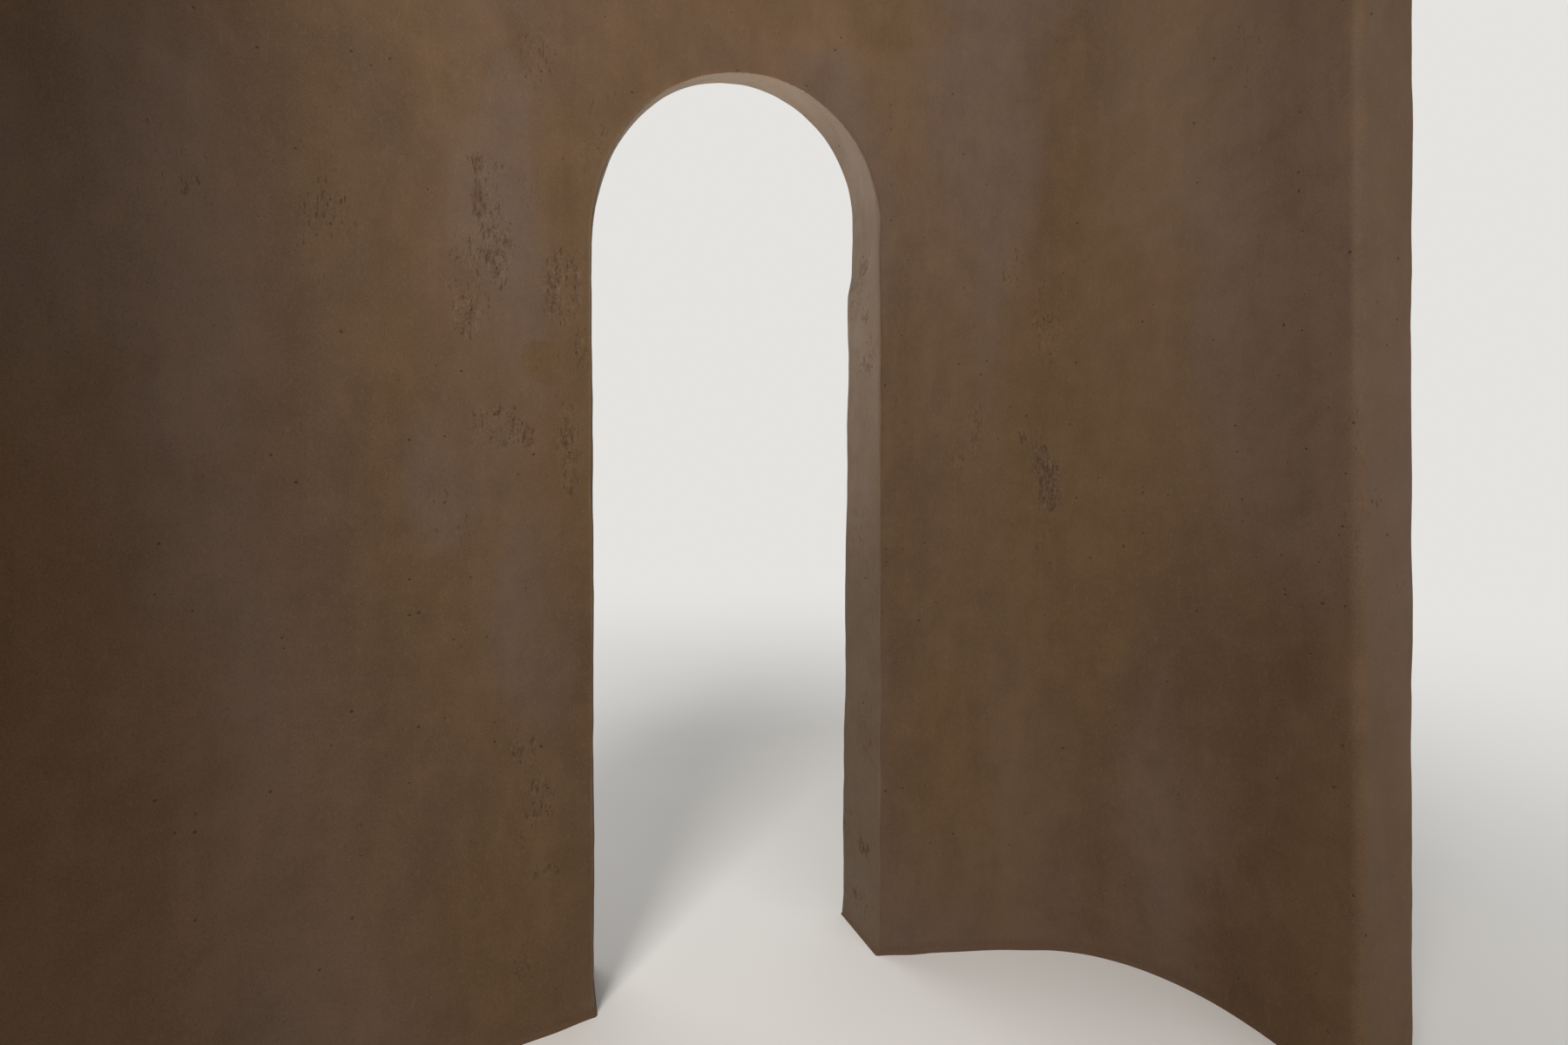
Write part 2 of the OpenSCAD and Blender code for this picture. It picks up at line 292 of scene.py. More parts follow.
def passage_stations(cell):
    """All sections round the passage, from the right foot over the crown to the left foot."""
    heights = jamb_heights(cell)
    marks = [0.0, CORNER_RIGHT, CORNER_RIGHT + HAUNCH, CORNER_LEFT - HAUNCH, CORNER_LEFT, math.pi]
    rays, ends = [], []
    for low, high in zip(marks, marks[1:]):
        a, b = frame_hit(low), frame_hit(high)
        steps = max(3, int(round(np.linalg.norm(b - a) / cell)))
        rays += [low + (high - low) * i / steps for i in range(1, steps + 1)]
        ends.append(len(rays))
    rays = rays[:-1]
    right, toe_r = level_stations(heights, True)
    left, toe_l = level_stations(heights[::-1], False)
    near = [ray_hit(a, NEAR_RIGHT if a < math.pi / 2 else NEAR_LEFT) for a in rays]
    far = [ray_hit(a, FAR_RIGHT if a < math.pi / 2 else FAR_LEFT) for a in rays]
    outer = [frame_hit(a) for a in rays]
    parts = [np.concatenate([r, np.array(m), s]) for r, m, s in zip(right, (near, far, outer), left)]
    toe = np.concatenate([toe_r, np.zeros(len(rays)), toe_l])
    first = len(heights) - 1
    joints = [0, first, first + ends[1], first + ends[2], first + ends[-1], len(toe) - 1]
    return parts, toe, joints


# Hand-made irregularity, the same on both sides of a joint


def stray(points, size, seed):
    """Smooth values between about -1 and 1 at each point."""
    flat = points.reshape(-1, points.shape[-1])
    shift = Vector((seed * 3.1, seed * 1.7, seed * 5.3))
    values = [noise.noise(Vector((p[0], 0.0, p[-1])) / size + shift) for p in flat]
    return 1.6 * np.array(values).reshape(points.shape[:-1])


# Grids of plaster

EDGE_ROWS = 6
FACE_STEPS, EDGE_STEPS, REVEAL_STEPS = 18, 8, 18

# Rounding kept on the last rows of a free end, and half the strip they leave open
LEAST_R, END_STRIP = 0.002, 0.004


def wall_section(cell, inset=0.0, base=0.0):
    """Upright section as depth, height and the way into the wall, front foot to back foot."""
    top = WALL_H - inset
    r = max(EDGE_R - inset, LEAST_R)
    rise = spaced(base, WALL_H - EDGE_R, cell)
    rise = rise + (top - r - rise[-1]) * (rise - rise[0]) / (rise[-1] - rise[0])
    arc = np.linspace(0.0, math.pi / 2, EDGE_ROWS)
    flat = spaced(0.0, 1.0, COARSE * cell / WALL_T)[1:-1]
    lead_in = np.concatenate([np.zeros(len(rise)), arc[1:]])
    lead_d = inset + r - r * np.cos(lead_in)
    lead_z = np.concatenate([rise, top - r + r * np.sin(arc[1:])])
    level_d = inset + r + (WALL_T - 2 * inset - 2 * r) * flat
    depth = np.concatenate([lead_d, level_d, WALL_T - lead_d[::-1]])
    height = np.concatenate([lead_z, np.full(len(flat), top), lead_z[::-1]])
    inward_d = np.concatenate([np.cos(lead_in), np.zeros(len(flat)), -np.cos(lead_in[::-1])])
    inward_z = -np.concatenate([np.sin(lead_in), np.ones(len(flat)), np.sin(lead_in[::-1])])
    return depth, height, inward_d, inward_z


def swept_grid(rows, side):
    """Grid from rows of (u along the front, section, turn towards the free end)."""
    points, inward = [], []
    for u, (depth, height, into_d, into_z), end in rows:
        x, y, nx, ny = plan(u, depth)
        points.append(np.stack([side * x, y, height], axis=1))
        flat = np.stack([side * nx * into_d, ny * into_d, into_z], axis=1)
        inward.append(unit(flat * math.cos(end) + np.array([0.0, 1.0, 0.0]) * math.sin(end)))
    return np.array(points), np.array(inward)


def end_insets(cell):
    """How far in from the wall's faces the rows on the free end lie."""
    return spaced(EDGE_R, WALL_T / 2 - END_STRIP, COARSE * cell)[1:]


def run_rows(name, cell):
    """Rows of one run, with a row past each joint so that neighbours share their normals."""
    section = wall_section(cell)
    joint = FACE_R * np.arcsin(SURROUND_HALF / (FACE_R + section[0]))
    spans = {"wing": (joint, ARC_END), "corner": (np.full_like(joint, ARC_END), CORNER_END)}
    if name in spans:
        start, end = spans[name]
        return [(start + (end - start) * t, section, 0.0) for t in past_ends(end - start[0], cell)]
    straight = RETURN_L - EDGE_R
    rows = [(CORNER_END + straight * t, section, 0.0) for t in past_ends(straight, cell)[:-1]]
    for a in np.linspace(0.0, math.pi / 2, EDGE_ROWS + 1)[1:]:
        u = WALL_END - EDGE_R + EDGE_R * math.sin(a)
        rows.append((u, wall_section(cell, EDGE_R * (1.0 - math.cos(a))), a))
    for inset in end_insets(cell):
        rows.append((WALL_END, wall_section(cell, inset), math.pi / 2))
    return rows


def head_grid(cell):
    """Grid of the wall over the arch, with a margin all round."""
    section = wall_section(cell, base=SURROUND_TOP)
    depth, height, into_d, into_z = (np.pad(values, 1, mode="edge") for values in section)
    height[[0, -1]] -= cell
    x = SURROUND_HALF * (2.0 * past_ends(2 * SURROUND_HALF, cell) - 1.0)[:, None]
    y, into = face_y(x, depth), into_d / (FACE_R + depth)
    points = np.broadcast_arrays(x, y, height)
    inward = np.broadcast_arrays(x * into, (y - ARC_Y) * into, into_z)
    return np.stack(points, axis=-1), np.stack(inward, axis=-1)


def passage_grid(stations, wander):
    """Grid round the passage: front face, near edge, reveal, far edge and back face."""
    (near, far, outer), toe, _ = stations
    out_n, out_f = unit(outer - near), unit(outer - far)
    near = near + out_n * (wander * stray(near, 0.24, 1) + 0.4 * wander * stray(near, 0.07, 2))[:, None]
    far = far + out_f * (wander * stray(far, 0.20, 3) + 0.4 * wander * stray(far, 0.06, 4))[:, None]
    reach_n = ARRIS * (1.0 + 0.35 * stray(near, 0.16, 5))[:, None]
    reach_f = ARRIS * (1.15 + 0.35 * stray(far, 0.16, 6))[:, None]

    def on_face(p, depth, out):
        return np.stack([p[:, 0], face_y(p[:, 0], depth) + out, p[:, 1]], axis=1)

    def face_side(tip, depth, proud):
        """Columns on a face, from one outside the part to the last before its edge."""
        shares = np.arange(-1, FACE_STEPS) / FACE_STEPS
        reach = [proud * (1.0 - (1.0 - WORN) * ramp(t)) for t in shares]
        return [on_face(outer + (tip - outer) * t, depth, out) for t, out in zip(shares, reach)]

    def round_edge(a, b, c):
        return [(1 - t) ** 2 * a + 2 * t * (1 - t) * b + t * t * c for t in rise]

    rise = np.linspace(0.0, 1.0, EDGE_STEPS + 1)
    worn = WORN * toe
    near_3, far_3 = on_face(near, 0.0, -worn), on_face(far, WALL_T, worn)
    along = unit(far_3 - near_3)
    begin, end = near + out_n * reach_n, far + out_f * reach_f
    inner_n, inner_f = near_3 + along * reach_n, far_3 - along * reach_f
    columns = face_side(begin, 0.0, -toe)
    columns += round_edge(on_face(begin, 0.0, -worn), near_3, inner_n)
    columns += [inner_n + (inner_f - inner_n) * i / REVEAL_STEPS for i in range(1, REVEAL_STEPS)]
    columns += round_edge(inner_f, far_3, on_face(end, WALL_T, worn))
    columns += face_side(end, WALL_T, toe)[::-1]
    points = np.stack(columns, axis=1)
    bulge = 1.0 - np.abs(2.0 * rise - 1.0)
    outside, inside = np.zeros(FACE_STEPS + 1), np.ones(REVEAL_STEPS - 1)
    passage = np.concatenate([outside, rise, inside, rise[::-1], outside])
    # The edge share marks the rounded edges, which the material paints pale: partly rubbed wear, partly
    # a painted highlight
    edge = np.concatenate([outside, bulge, 0.0 * inside, bulge, outside])

    face = unit(points * (1.0, 1.0, 0.0) - (0.0, ARC_Y, 0.0))
    face[:, len(passage) // 2:] *= -1.0
    sideways = np.stack([out_n[:, 0], 0.0 * toe, out_n[:, 1]], axis=1)[:, None, :]
    inward = unit(face * (1.0 - passage)[None, :, None] + sideways * passage[None, :, None])
    marks = {"passage": passage, "edge": edge}
    return points, inward, {label: np.broadcast_to(v, points.shape[:2]) for label, v in marks.items()}


# Geometry Nodes


class Nodes:
    """Adds nodes to a tree: sockets are linked, plain values are set."""

    def __init__(self, tree):
        self.tree = tree

    def add(self, kind, inputs=(), **settings):
        node = self.tree.nodes.new(kind)
        for key, value in settings.items():
            setattr(node, key, value)
        for key, value in dict(inputs).items():
            self.put(node.inputs[key], value)
        return node

    def put(self, socket, value):
        if isinstance(value, bpy.types.NodeSocket):
            self.tree.links.new(value, socket)
        else:
            socket.default_value = value

    def math(self, operation, a, b=0.0, c=0.0, clamp=False):
        node = self.add("ShaderNodeMath", {0: a, 1: b, 2: c}, operation=operation, use_clamp=clamp)
        return node.outputs[0]

    def times(self, a, b):
        return self.math("MULTIPLY", a, b)

    def fused(self, a, b, c, clamp=False):
        """a times b, plus c."""
        return self.math("MULTIPLY_ADD", a, b, c, clamp)

    def vector(self, operation, a, b):
        node = self.add("ShaderNodeVectorMath", {0: a, 1: b}, operation=operation)
        return node.outputs["Vector"]

    def scale(self, a, factor):
        node = self.add("ShaderNodeVectorMath", {0: a, "Scale": factor}, operation="SCALE")
        return node.outputs["Vector"]

    def spread(self, value, low, high, to_low=0.0, to_high=1.0):
        """Stretches low..high to to_low..to_high and clamps it."""
        inputs = enumerate((value, low, high, to_low, to_high))
        return self.add("ShaderNodeMapRange", inputs).outputs["Result"]

    def noise(self, vector, scale, detail=2.0, roughness=0.5, distortion=0.0):
        inputs = {
            "Vector": vector, "Scale": scale, "Detail": detail,
            "Roughness": roughness, "Distortion": distortion,
        }
        return self.add("ShaderNodeTexNoise", inputs).outputs[0]


def attribute(nodes, name, kind="FLOAT"):
    return nodes.add("GeometryNodeInputNamedAttribute", {"Name": name}, data_type=kind).outputs[0]


CLOUDS = ("cloud", "hue", "torn")
LENGTHS = ("Swell depth", "Swell size", "Trowel depth", "Trowel size", "Float depth", "Torn depth")

# Patterns that the relief and the material share: noise settings and stretched scales
MOTTLE = (11.0, 4.0, 0.58)
STROKES = (26.0, 26.0, 5.0)
SKIN = (46.0, 46.0, 30.0)

# How far the placed marks pull the clouds, and how strongly the skin tears within them
SHADE_PULL, TINT_PULL = -0.07, 0.15
FLAKED = 0.42
TEARING = (0.03, 0.22)


def relief_tree():
    """Presses the plaster into the wall and marks its clouds of tone and its torn patches."""
    tree = bpy.data.node_groups.new("Trowelled relief", "GeometryNodeTree")
    inputs = {"Geometry": "Geometry", "Seed": "Int", "Material": "Material"}
    for label, kind in {**inputs, **dict.fromkeys(LENGTHS, "Float")}.items():
        tree.interface.new_socket(label, in_out="INPUT", socket_type="NodeSocket" + kind)
    tree.interface.new_socket("Geometry", in_out="OUTPUT", socket_type="NodeSocketGeometry")
    n = Nodes(tree)
    given = n.add("NodeGroupInput").outputs
    here = n.add("GeometryNodeInputPosition").outputs[0]
    away = n.add("ShaderNodeCombineXYZ", {"X": 1.0, "Y": 1.7, "Z": 0.6}).outputs[0]
    place = n.vector("ADD", here, n.scale(away, given["Seed"]))
    tall = n.vector("MULTIPLY", place, (1.0, 1.0, 0.55))
    upright = n.vector("MULTIPLY", place, (1.0, 1.0, 0.34))

    # tone, before the points move
    cloud = n.noise(upright, 1.9, detail=3.0, roughness=0.46, distortion=0.3)
    # the shade marks darken the clouds: painted shade beside the passage's edges, smudges elsewhere
    cloud = n.fused(attribute(n, "shade"), SHADE_PULL, cloud)
    hue = n.noise(n.vector("ADD", upright, (4.0, 9.0, 2.0)), 2.2, detail=1.5, distortion=0.3)
    hue = n.fused(attribute(n, "tint"), TINT_PULL, hue)
    wild = n.noise(n.vector("ADD", tall, (11.0, 3.0, 7.0)), 4.6, detail=3.0, roughness=0.6)
    broken = n.noise(n.vector("ADD", tall, (3.0, 8.0, 5.0)), 26.0, detail=2.0, roughness=0.6)
    patch = n.times(attribute(n, "patch"), n.spread(broken, 0.36, 0.56, 0.30, 1.30))
    torn = n.math("MAXIMUM", patch, n.spread(wild, 0.60, 0.78, 0.0, 0.38))
    geometry = given["Geometry"]
    for label, value in zip(CLOUDS, (cloud, hue, torn)):
        stored = {"Geometry": geometry, "Name": label, "Value": value}
        geometry = n.add("GeometryNodeStoreNamedAttribute", stored, data_type="FLOAT").outputs[0]

    wide = n.noise(place, n.math("DIVIDE", 1.0, given["Swell size"]), detail=1.0)
    close = n.noise(tall, n.math("DIVIDE", 1.0, given["Trowel size"]), detail=2.0, distortion=0.6)
    depth = n.times(n.spread(wide, 0.25, 0.75), given["Swell depth"])
    depth = n.fused(n.spread(close, 0.28, 0.72), given["Trowel depth"], depth)
    strokes = n.noise(n.vector("MULTIPLY", here, STROKES), 1.0, 3.0, 0.6)
    marks = n.math("ADD", n.noise(here, *MOTTLE), strokes)
    depth = n.fused(n.math("SUBTRACT", 1.5, marks), given["Float depth"], depth)
    skin = n.noise(n.vector("MULTIPLY", here, SKIN), 1.0, 3.0, 0.62)
    eaten = n.times(n.spread(n.fused(torn, FLAKED, skin), 0.78, 0.86), n.spread(torn, *TEARING))
    depth = n.fused(eaten, given["Torn depth"], depth)
    depth = n.times(depth, attribute(n, "yield"))
    offset = n.scale(attribute(n, "inward", "FLOAT_VECTOR"), depth)
    moved = n.add("GeometryNodeSetPosition", {"Geometry": geometry, "Offset": offset})
    real = n.add("GeometryNodeRealizeInstances", {"Geometry": moved.outputs[0]}).outputs[0]
    dressed = {"Geometry": real, "Material": given["Material"]}
    n.add("NodeGroupOutput", {"Geometry": n.add("GeometryNodeSetMaterial", dressed).outputs[0]})
    return tree


def run_tree(obj, tree, values):
    """Evaluates a node tree on an object and returns the result as a plain mesh."""
    modifier = obj.modifiers.new(tree.name, "NODES")
    modifier.node_group = tree
    sockets = {s.name: s.identifier for s in tree.interface.items_tree if s.in_out == "INPUT"}
    for label, value in values.items():
        modifier[sockets[label]] = value
    graph = bpy.context.evaluated_depsgraph_get()
    mesh = bpy.data.meshes.new_from_object(obj.evaluated_get(graph), depsgraph=graph)
    obj.modifiers.remove(modifier)
    return mesh


# From grid to piece


def grid_index(points):
    """Vertex numbers of a grid of points, by row and column."""
    rows, cols = points.shape[:2]
    return np.arange(rows * cols).reshape(rows, cols)


def grid_faces(index):
    """Quads between neighbouring rows and columns."""
    corners = (index[:-1, :-1], index[1:, :-1], index[1:, 1:], index[:-1, 1:])
    return np.stack(corners, axis=2).reshape(-1, 4).tolist()


def raw_mesh(name, points, faces):
    mesh = bpy.data.meshes.new(name)
    mesh.from_pydata(points.reshape(-1, 3).tolist(), [], faces)
    mesh.update()
    return mesh


def read(items, key, width=1, kind=float):
    """One value of each item, or width of them, as a flat array."""
    values = np.empty(len(items) * width, dtype=kind)
    items.foreach_get(key, values)
    return values


def put_attribute(mesh, name, values, kind="FLOAT"):
    layer = mesh.attributes.new(name, kind, "POINT")
    layer.data.foreach_set("vector" if kind == "FLOAT_VECTOR" else "value", np.ravel(values))


def new_object(name, data):
    obj = bpy.data.objects.new(name, data)
    bpy.context.scene.collection.objects.link(obj)
    return obj


def relieved(settings, node, slot, points, inward, passage=0.0):
    """Runs the relief on a grid and returns its points, smooth normals and marks of tone.

    The relief's inputs are the same for every piece, so that neighbours meet.
    """
    mesh = raw_mesh(node + "_grid", points, grid_faces(grid_index(points)))
    put_attribute(mesh, "inward", inward, "FLOAT_VECTOR")
    put_attribute(mesh, "yield", ramp(points[..., 2] / GIVE_H))
    for label, weights in zip(("patch", "tint", "shade"), placed_marks(points, inward, passage)):
        put_attribute(mesh, label, weights)
    obj = new_object(mesh.name, mesh)
    tree = bpy.data.node_groups.get("Trowelled relief") or relief_tree()
    keys = {label: label.lower().replace(" ", "_") for label in (*LENGTHS, "Seed")}
    values = {label: getattr(settings, key) for label, key in keys.items()}
    result = run_tree(obj, tree, {**values, "Material": material_for(slot)})
    flat = points.shape[:2]
    moved, normals = (read(result.vertices, key, 3).reshape(*flat, 3) for key in ("co", "normal"))
    marks = {label: read(result.attributes[label].data, "value").reshape(flat) for label in CLOUDS}
    bpy.data.objects.remove(obj)
    bpy.data.meshes.remove(result)
    bpy.data.meshes.remove(mesh)
    return moved, normals, marks


def ladder_cap(row, rungs):
    """Closes one end: rungs from front to back, then a fan over the rest."""
    faces = [[row[k], row[k + 1], row[-2 - k], row[-1 - k]] for k in range(rungs)]
    rest = row[rungs:len(row) - rungs]
    return faces + [[rest[-1], a, b] for a, b in zip(rest[:-2], rest[1:-1])]


def foot_faces(feet, level):
    """Faces on the floor; the feet of the last rows lie on one line and share a fan."""
    whole = feet[:len(feet) - level]
    faces = [[a, b, d, c] for (a, b), (c, d) in zip(whole, whole[1:])]
    if level:
        left, right = faces.pop()[:2]
        line = [*feet[-level - 1:, 1], *feet[:-level - 2:-1, 0]]
        faces += [[left, a, b] for a, b in zip([right, *line], line)]
    return faces


def closed_piece(name, points, normals, marks, rungs, slot, node, tucked=0, level=0):
    """Makes a closed piece from a relieved grid, with the grid's normals on its skin.

    The outermost tucked columns are hidden in the wall and have flat faces.
    """
    index = grid_index(points)
    cols = index.shape[1]
    skin = grid_faces(index[:, tucked:cols - tucked])
    under = foot_faces(index[:, [0, -1]], level)
    if tucked:
        for hidden in (index[:, :tucked + 1], index[:, -tucked - 1:]):
            under += grid_faces(hidden)
    ends = ladder_cap(index[0], rungs) + [f[::-1] for f in ladder_cap(index[-1], rungs)]
    faces = skin + [[int(v) for v in f] for f in under + ends]
    mesh = raw_mesh(name, points, faces)
    if signed_volume(mesh) < 0.0:
        mesh.flip_normals()
        normals = -normals
    for label, values in marks.items():
        put_attribute(mesh, label, values)
    mesh.materials.append(material_for(slot))
    set_normals(mesh, normals.reshape(-1, 3), len(skin))
    obj = new_object(name, mesh)
    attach(obj, "root")
    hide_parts(node)


def signed_volume(mesh):
    mesh.calc_loop_triangles()
    corners = read(mesh.loop_triangles, "vertices", 3, np.int32).reshape(-1, 3)
    a, b, c = read(mesh.vertices, "co", 3).reshape(-1, 3)[corners].transpose(1, 0, 2)
    return float(np.sum(a * np.cross(b, c)) / 6.0)


def set_normals(mesh, normals, skin_faces):
    """Smooth shared normals on the skin, flat ones on the hidden faces."""
    vertices = read(mesh.loops, "vertex_index", kind=np.int32)
    starts = read(mesh.polygons, "loop_start", kind=np.int32)
    sizes = np.diff(np.append(starts, len(mesh.loops)))
    flat = np.repeat(read(mesh.polygons, "normal", 3).reshape(-1, 3), sizes, axis=0)
    on_skin = np.repeat(np.arange(len(starts)), sizes) < skin_faces
    values = np.where(on_skin[:, None], normals[vertices], flat)
    mesh.shade_smooth()
    mesh.normals_split_custom_set(values.tolist())


def lay_plaster(settings, node, grid, trims, rungs, slot, marks=None, level=0):
    """Relieves a grid, trims its margins and makes the piece that replaces a node."""
    points, inward = grid
    marks = marks or {}
    passage = marks.get("passage", 0.0)
    mean = 0.5 * (settings.swell_depth + settings.trowel_depth + settings.float_depth)
    points = points - inward * (mean * passage * ramp(points[..., 2] / GIVE_H))[..., None]
    moved, normals, tones = relieved(settings, node, slot, points, inward, passage)
    r0, r1, c0, c1 = trims
    rows, cols = points.shape[:2]
    cut = (slice(r0, rows - r1), slice(c0, cols - c1))
    tones = {label: value[cut] for label, value in {**marks, **tones}.items()}
    skin = (moved[cut], normals[cut], tones)
    closed_piece(node + "_plaster", *skin, rungs, slot, node, level=level)


# Marks on the front: torn patches and columns of hue left by the hand, and darker columns, partly
# smudges and partly painted shade; each as sideways place, height, half width, half height, weight
TORN_PATCHES = [
    (-0.614, 2.039, 0.028, 0.036, 0.90),
    (-0.612, 1.945, 0.026, 0.085, 0.85),
    (-0.584, 1.880, 0.034, 0.022, 0.70),
    (-0.598, 1.823, 0.034, 0.075, 0.60),
    (-0.653, 1.693, 0.026, 0.050, 0.75),
    (-0.640, 1.780, 0.040, 0.110, 0.40),
    (-0.454, 1.790, 0.040, 0.080, 1.00),
    (-0.409, 1.647, 0.018, 0.050, 0.70),
    (-0.493, 1.605, 0.050, 0.046, 0.14),
    (-0.584, 1.442, 0.055, 0.050, 0.45),
    (-0.528, 1.426, 0.014, 0.030, 0.70),
    (-0.437, 1.400, 0.030, 0.110, 0.55),
    (-0.535, 0.687, 0.026, 0.042, 0.80),
    (-0.502, 0.556, 0.032, 0.055, 0.55),
    (-0.548, 0.464, 0.016, 0.034, 0.50),
    (-0.483, 0.386, 0.040, 0.014, 0.55),
    (-0.539, 0.175, 0.020, 0.046, 0.35),
    (0.770, 1.945, 0.034, 0.055, 0.32),
    (0.846, 1.790, 0.022, 0.130, 0.50),
    (0.880, 1.740, 0.012, 0.080, 0.45),
    (0.844, 1.405, 0.026, 0.080, 0.95),
    (0.866, 1.325, 0.028, 0.075, 1.00),
    (0.794, 1.470, 0.012, 0.022, 1.00),
    (0.652, 1.482, 0.028, 0.070, 0.60),
    (0.610, 1.400, 0.030, 0.034, 0.45),
    (0.840, 1.200, 0.018, 0.060, 0.35),
]
ROSY_COLUMNS = [
    (-0.600, 1.620, 0.130, 0.480, 1.60),
    (-0.570, 2.200, 0.045, 0.120, 0.80),
    (-0.690, 1.330, 0.085, 0.190, 1.65),
    (-0.500, 1.020, 0.110, 0.280, 1.95),
    (0.500, 1.600, 0.055, 0.500, 0.30),
    (-1.000, 1.300, 0.140, 0.500, 0.60),
]
OCHRE_COLUMNS = [
    (-0.440, 2.070, 0.055, 0.180, 0.90),
    (-0.700, 2.330, 0.140, 0.160, 0.60),
    (-0.493, 1.605, 0.045, 0.040, 2.40),
    (-0.560, 0.300, 0.160, 0.220, 0.70),
    (0.640, 1.500, 0.070, 0.500, 0.45),
    (0.930, 1.500, 0.190, 0.650, 1.00),
    (0.540, 0.420, 0.160, 0.350, 1.30),
    (0.150, 2.650, 0.400, 0.100, 0.90),
]
# Darker columns: the two long ones beside the passage's near edges and the broad one further left are
# painted shade; the small ones are smudges
PAINTED_SHADE_AND_SMUDGES = [
    (0.435, 1.050, 0.070, 1.100, 0.85),
    (-0.415, 0.900, 0.055, 0.900, 0.70),
    (-0.760, 1.300, 0.110, 0.700, 0.30),
    (-0.493, 1.641, 0.030, 0.013, 1.70),
    (-0.488, 1.568, 0.036, 0.015, 1.70),
    (-0.612, 2.045, 0.020, 0.030, 1.20),
    (-0.430, 1.780, 0.036, 0.036, 0.90),
]
# Nicks on the right reveal: share of the wall's depth, height, half widths, weight
REVEAL_NICKS = [
    (0.50, 1.985, 0.20, 0.035, 0.80),
    (0.40, 1.840, 0.16, 0.040, 0.75),
    (0.72, 1.900, 0.22, 0.060, 0.45),
    (0.35, 1.700, 0.30, 0.060, 0.55),
    (0.45, 1.180, 0.30, 0.120, 0.35),
    (0.30, 0.620, 0.25, 0.090, 0.40),
    (0.38, 0.270, 0.18, 0.030, 0.85),
    (0.75, 0.300, 0.20, 0.050, 0.60),
    (0.50, 0.110, 0.40, 0.040, 0.40),
]


def soft_ellipses(ellipses, x, z):
    """Weight of soft ellipses at each place, the strongest one counting."""
    total = np.zeros_like(x)
    for mid_x, mid_z, half_x, half_z, weight in ellipses:
        square = np.square((x - mid_x) / half_x) + np.square((z - mid_z) / half_z)
        total = np.maximum(total, weight * ramp((2.0 - square) / 1.8))
    return total


def placed_marks(points, inward, passage):
    """Weights of torn patches, of hue and of shade on the front, and nicks on the right reveal."""
    x, z = points[..., 0], points[..., 2]
    hue = soft_ellipses(ROSY_COLUMNS, x, z) - soft_ellipses(OCHRE_COLUMNS, x, z)
    weights = (soft_ellipses(TORN_PATCHES, x, z), hue, soft_ellipses(PAINTED_SHADE_AND_SMUDGES, x, z))
    patch, *others = (np.where(inward[..., 1] > 0.3, weight, 0.0) for weight in weights)
    depth = (points[..., 1] - face_y(x, 0.0)) / WALL_T
    nicks = soft_ellipses(REVEAL_NICKS, depth, z) * passage * (x > 0.0)
    return np.maximum(patch, nicks), *others


# Materials


def mix_colour(n, share, a, b):
    node = n.add("ShaderNodeMix", {"Factor": share}, data_type="RGBA")
    sockets = [s for s in node.inputs if s.type == "RGBA"]
    n.put(sockets[0], a)
    n.put(sockets[1], b)
    return [s for s in node.outputs if s.type == "RGBA"][0]


def rgba(colour):
    return (*colour, 1.0)


def mark(n, name):
    return n.add("ShaderNodeAttribute", attribute_name=name).outputs["Fac"]


